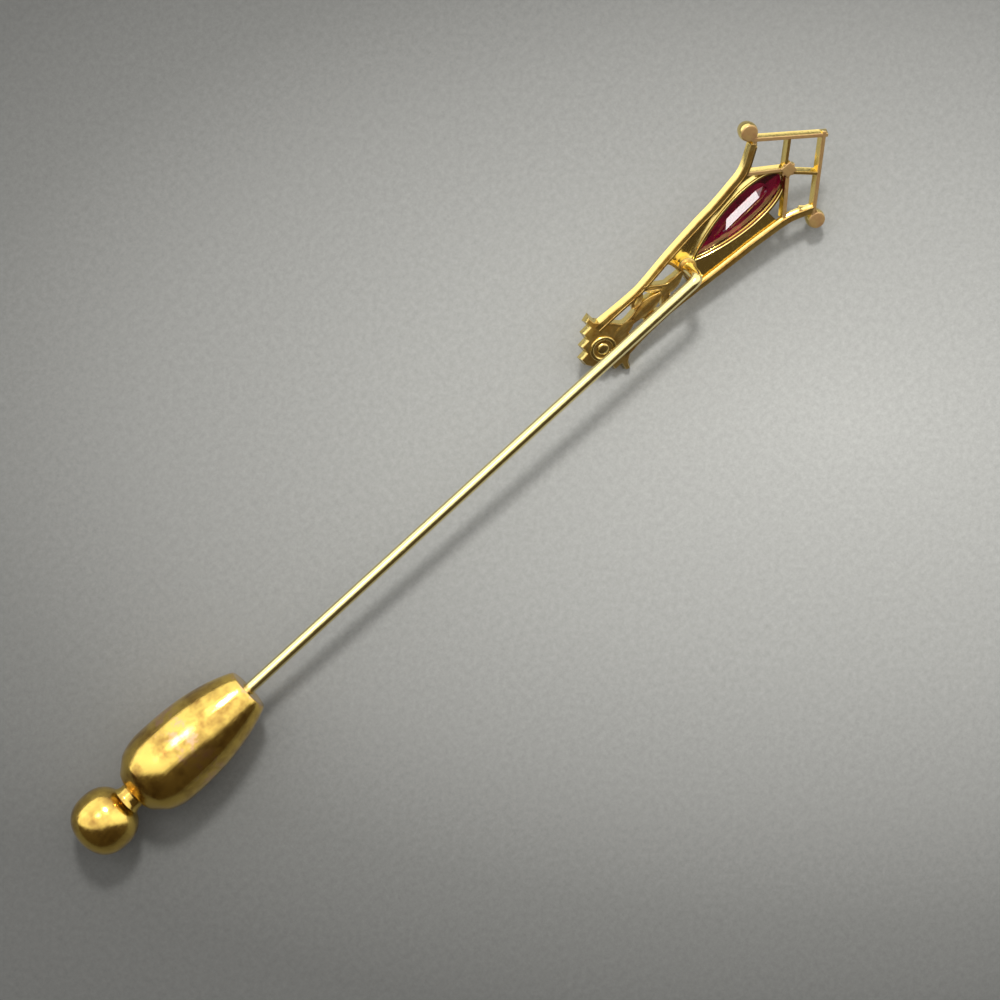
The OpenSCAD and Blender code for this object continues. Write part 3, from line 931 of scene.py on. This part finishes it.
class PIN_OT_stone(bpy.types.Operator):
    """Table at the front, two rows of crown facets, and long pavilion facets up to a keel"""
    bl_idname = "pin.stone"
    bl_label = "Pear stone"

    def execute(self, context):
        s = lengths("pin_setting")
        sides = 16
        gap = 0.03
        x, y = setting_outline(s.wall + gap, sides).T
        hub = s.tip + STONE_HUB * s.length
        points = np.vstack([np.column_stack([hub + (x - hub) * along,
                                             np.clip(y * across, -most, most) - s.shift,
                                             np.full(sides, z - s.girdle)])
                            for along, across, z, most in STONE_RINGS])
        faces = []
        for start in range(0, len(points) - sides, sides):
            for i in range(sides):
                j = (i + 1) % sides
                a, b, c, d = start + i, start + j, start + sides + i, start + sides + j
                even = (i + start // sides) % 2 == 0
                faces += [[a, b, c], [b, d, c]] if even else [[a, d, c], [a, b, d]]
        faces += [list(range(sides - 1, -1, -1)), list(range(len(points) - sides, len(points)))]
        put("pear_stone_cut", [shell(points, faces)], HEAD_PLACE, ruby(), "pin", STONE,
            flat=True)
        return {"FINISHED"}


# Stem and clutch

# The wire's blunt tip, and how far its full width runs on inside the clutch
TIP_R = 0.04
TIP_LENGTH = 0.06
FULL_INSIDE = 0.4
# Control points of the bend: how far the first two lie before the corner, along the wire,
# and the last two below it, along the post
BEND_BEFORE = (0.72, 0.2)
BEND_BELOW = (0.12, 0.62)
# Where the straight post starts below the corner, and how far it runs into the plate
POST_START = 0.8
POST_SUNK = 0.3


class PIN_OT_stem(bpy.types.Operator):
    """One drawn wire from its sharp point to a bend and down the post into the solder"""
    bl_idname = "pin.stem"
    bl_label = "Stem"

    def execute(self, context):
        s = lengths("pin_stem")
        r, post = s.wire_d / 2, s.post_d / 2
        back = CLUTCH_TURN[:, 2]
        out = HEAD_TURN[:, 2]
        point = CLUTCH_FRONT + back * s.hidden_len
        full = s.hidden_len + FULL_INSIDE
        tapering = np.array([0, TIP_LENGTH, s.point_len, full])
        whole = np.linalg.norm(CORNER - point)
        along = np.concatenate([tapering, np.linspace(full + 1, whole - BEND_BEFORE[0], 30)])
        wire = point - back * along[:, None]
        t = np.linspace(0, 1, 18)[1:, None]
        weights = ((1 - t) ** 3, 3 * t * (1 - t) ** 2, 3 * t ** 2 * (1 - t), t ** 3)
        controls = ([CORNER + back * d for d in BEND_BEFORE]
                    + [CORNER - out * d for d in BEND_BELOW])
        bend = sum(weight * control for weight, control in zip(weights, controls))
        down = np.linspace(POST_START, STEM_STAND + POST_SUNK, 8)[:, None]
        path = np.vstack([wire, bend, CORNER - out * down])
        radius = np.concatenate([np.interp(along, tapering, [0.0, TIP_R, s.taper_d / 2, r], right=r),
                                 r + (post - r) * t[:, 0], np.full(len(down), post)])
        solid = round_sweep(path, radius, np.cross(back, out))
        put("stem", [solid], TABLE_PLACE, gold("stem_gold"), "pin", HEAD, 50)
        return {"FINISHED"}


# Inside the clutch: the radius of the stem's bore and the neck's hole, and the chamber
BORE_R = 0.45
NECK_HOLE_R = 0.98
CHAMBER_FRONT = 2.4
CHAMBER_BACK = 9.4
# Power by which the barrel swells, and its low dome behind the shoulder
SWELL = 2.6
DOME = [(2.12, 9.6), (1.64, 10.15), (1.12, 10.4), (NECK_HOLE_R, 10.38)]
# The knob: its squarish ball's power, neck, collar, plunger and blind bore
BALL_POWER = 2.35
NECK_BACK = 10.85
COLLAR_R = 1.67
COLLAR_BACK = 8.1
COLLAR_FRONT = 6.0
PLUNGER_FRONT = 5.2
BLIND_END = 12.07


class PIN_OT_clutch_barrel(bpy.types.Operator):
    """Swells from the front face to the belly, with a shoulder and low dome, and a bore and a
    chamber inside"""
    bl_idname = "pin.clutch_barrel"
    bl_label = "Clutch barrel"

    def execute(self, context):
        c = lengths("pin_clutch")
        lip = rounded([(BORE_R, CHAMBER_FRONT), (BORE_R, 0.0), (c.nose_r - 0.02, 0.0),
                       (c.nose_r + 0.05, 0.2)], 0.12, 5)
        q = np.linspace(0.03, 1, 40)
        swell = np.stack([c.nose_r + (BELLY_R - c.nose_r) * (1 - (1 - q) ** SWELL),
                          BELLY_Z * q], 1)
        q = np.linspace(0, 1, 14)[1:]
        tail = np.stack([BELLY_R - (BELLY_R - c.shoulder_r) * q ** 2,
                         BELLY_Z + (c.shoulder_z - BELLY_Z) * q], 1)
        dome = rounded([tail[-1], *DOME, (NECK_HOLE_R, CHAMBER_BACK)], 0.1, 5)
        inside = [(NECK_HOLE_R, CHAMBER_BACK), (c.chamber_r, CHAMBER_BACK),
                  (c.chamber_r, CHAMBER_FRONT)]
        profile = np.vstack([lip[:-1], swell, tail, dome[1:-1], inside])
        put("clutch_barrel", [turned(profile, 96, closed=True)], CLUTCH_PLACE,
            plated("clutch_plate"), "clutch", BARREL, 30)
        return {"FINISHED"}


class PIN_OT_clutch_knob(bpy.types.Operator):
    """A squarish ball on a neck, with the plunger and its collar in the barrel"""
    bl_idname = "pin.clutch_knob"
    bl_label = "Clutch knob"

    def execute(self, context):
        c = lengths("pin_clutch")
        neck = c.neck_r
        a = np.linspace(np.pi, 0, 60)
        power = 2 / BALL_POWER
        high = np.sign(np.cos(a)) * np.abs(np.cos(a)) ** power
        ball = np.stack([c.ball_r * np.sin(a) ** power, c.ball_z - c.ball_half * high], 1)
        ball = ball[(ball[:, 0] > neck + 0.12) | (ball[:, 1] > c.ball_z)]
        stalk = rounded([(neck + 0.15, ball[-1, 1] - 0.03), (neck, NECK_BACK),
                         (neck, COLLAR_BACK), (COLLAR_R, COLLAR_BACK), (COLLAR_R, COLLAR_FRONT),
                         (neck, COLLAR_FRONT), (neck, PLUNGER_FRONT), (BORE_R, PLUNGER_FRONT),
                         (BORE_R, BLIND_END)], 0.08, 5)
        profile = np.vstack([ball, stalk, [(0, BLIND_END)]])
        put("clutch_pull_knob", [turned(profile, 96)], CLUTCH_PLACE, plated("knob_plate"),
            "knob", PULL, 30)
        return {"FINISHED"}


# Stage

# Turn of the photograph's right-hand direction in plan, its upward direction, and the place
# that the camera looks straight down at
VIEW_TURN = -42.36
VIEW_UP = turn(2, VIEW_TURN) @ (0, 1, 0)
CAMERA_PLACE = np.array([20.869, -1.965])
# A pool of light painted into the table's grey: its middle, and the distances across and down the
# view over which it fades
PAINTED_POOL_PLACE = np.array([22.9, -15.3])
PAINTED_POOL_SIZE = np.array([124.0, 68.0])
# In metres: half of the table's side, and the lamps' distance from its middle
TABLE_HALF = 0.9
LAMP_REACH = 0.6
# Direction of the window that the stone's long facet reflects
WINDOW = (-0.110, 0.4625, 0.880)
# Angle from overhead of the middle of the room's white screen, and the room's brightness
SCREEN_ZENITH = 75.0
ROOM_STRENGTH = 1.8


def table_grey_with_painted_pool():
    """The table's fine-grained grey with a painted pool of light: the grey darkens away from the
    pool's middle.
    """
    n = Nodes(bpy.data.materials.new("table_grey_with_painted_pool"))
    grain = n.noise(n.object_coordinates(), 2.4, 8, 0.8)
    shade = n.ramp(grain, [(0.3, 0.74), (0.7, 1.0)])
    place = n.add("ShaderNodeMapping", vector_type="TEXTURE",
                  Vector=n.add("ShaderNodeTexCoord").outputs["Object"],
                  Location=(*PAINTED_POOL_PLACE * MM, 0),
                  Rotation=(0, 0, np.radians(VIEW_TURN)),
                  Scale=(*PAINTED_POOL_SIZE * MM, 1))
    pool = n.add("ShaderNodeTexGradient", gradient_type="SPHERICAL",
                 Vector=place.outputs["Vector"])
    # Painted pool of light: the full grey at the pool's middle, falling to 0.17 of it at the pool's
    # edge and beyond
    fall = n.ramp(pool.outputs["Fac"], [(0.0, 0.17), (0.38, 0.25), (0.5, 0.37), (0.62, 0.57),
                                        (0.76, 0.76), (1.0, 1.0)])
    n.feed(Base_Color=n.mix(n.product(shade, fall), BLACK, bpy.context.scene.pin_finish.floor),
           Roughness=0.8,
           Normal=n.bump(grain, 0.03, 0.4))
    return n.owner


def lamp(name, towards, width, power, tint):
    """A round lamp in a direction from the table's middle, which it faces."""
    data = bpy.data.lights.new(name, "AREA")
    data.shape = "DISK"
    data.size = width
    data.energy = power
    data.color = tint
    piece = linked(name, data)
    piece.location = np.asarray(towards) * LAMP_REACH
    x, y, z = towards / np.linalg.norm(towards)
    piece.rotation_euler = (np.arccos(z), 0, np.arctan2(y, x) + np.pi / 2)


def room():
    """A wide soft white screen from behind overhead down to the horizon at the view's top, and
    dim brown walls at the other side."""
    world = bpy.data.worlds.new("room")
    n = Nodes(world, "Background")
    side = np.sin(np.radians(SCREEN_ZENITH)) * VIEW_UP
    side[2] = np.cos(np.radians(SCREEN_ZENITH))
    share = n.add("ShaderNodeVectorMath", operation="DOT_PRODUCT")
    n.give(share.inputs[0], n.add("ShaderNodeTexCoord").outputs["Generated"])
    n.give(share.inputs[1], side)
    half = n.combined("MULTIPLY_ADD", share.outputs["Value"], 0.5, 0.5)
    light = n.ramp(half, [(0.0, (0.03, 0.022, 0.014)), (0.44, (0.055, 0.042, 0.028)),
                          (0.50, (0.70, 0.69, 0.67)), (0.70, (1.0, 0.995, 0.98)),
                          (1.0, (0.75, 0.745, 0.73))])
    n.feed(Color=light, Strength=ROOM_STRENGTH)
    return world


class PIN_OT_stage(bpy.types.Operator):
    """Grained grey table with a painted pool of light, a main lamp at the photograph's top, a
    window's light that the stone reflects, a room with a white screen, and the camera overhead"""
    bl_idname = "pin.stage"
    bl_label = "Stage"

    def execute(self, context):
        s = context.scene.pin_stage
        half = TABLE_HALF
        mesh = bpy.data.meshes.new("table")
        mesh.from_pydata([(-half, -half, 0), (half, -half, 0), (half, half, 0), (-half, half, 0)],
                         [], [(0, 1, 2, 3)])
        mesh.materials.append(table_grey_with_painted_pool())
        table = linked("table", mesh)

        towards = np.sin(s.zenith) * VIEW_UP + np.cos(s.zenith) * np.array([0, 0, 1])
        lamp("main_light", towards, s.light_size, s.light_power, (1.0, 0.99, 0.97))
        lamp("window_light", WINDOW, s.window_size, s.window_power, (1.0, 0.97, 0.95))
        context.scene.world = room()

        camera = linked("camera", bpy.data.cameras.new("camera"))
        camera.data.lens = 108.0
        camera.data.sensor_width = 36.0
        camera.data.clip_start = 0.01
        camera.location = (*(CAMERA_PLACE - PLAN_MIDDLE) * MM, s.camera_height)
        camera.rotation_euler = (0, 0, np.radians(VIEW_TURN))
        context.scene.camera = camera
        context.scene.view_settings.view_transform = "Standard"
        return {"FINISHED"}


OPERATORS = (PIN_OT_stepped_end, PIN_OT_rails, PIN_OT_lattice, PIN_OT_side_knobs,
             PIN_OT_small_collet, PIN_OT_vine, PIN_OT_bezel, PIN_OT_solder, PIN_OT_stem,
             PIN_OT_stone, PIN_OT_clutch_barrel, PIN_OT_clutch_knob, PIN_OT_stage)


class PIN_PT_panel(bpy.types.Panel):
    """Lists the pin's pieces"""
    bl_idname = "PIN_PT_panel"
    bl_label = "Stick Pin"
    bl_space_type = "VIEW_3D"
    bl_region_type = "UI"
    bl_category = "Stick Pin"

    def draw(self, context):
        for operator in OPERATORS:
            self.layout.operator(operator.bl_idname)
        for group, kind in GROUPS.items():
            box = self.layout.box()
            for key in kind.__annotations__:
                box.prop(getattr(context.scene, group), key)


CLASSES = (*GROUPS.values(), *OPERATORS, PIN_PT_panel)


def register():
    for cls in CLASSES:
        bpy.utils.register_class(cls)
    for name, kind in GROUPS.items():
        setattr(bpy.types.Scene, name, PointerProperty(type=kind))


def unregister():
    for name in GROUPS:
        delattr(bpy.types.Scene, name)
    for cls in reversed(CLASSES):
        bpy.utils.unregister_class(cls)


def main():
    register()
    for operator in OPERATORS:
        group, name = operator.bl_idname.split(".")
        getattr(getattr(bpy.ops, group), name)()


if __name__ == "__main__":
    main()
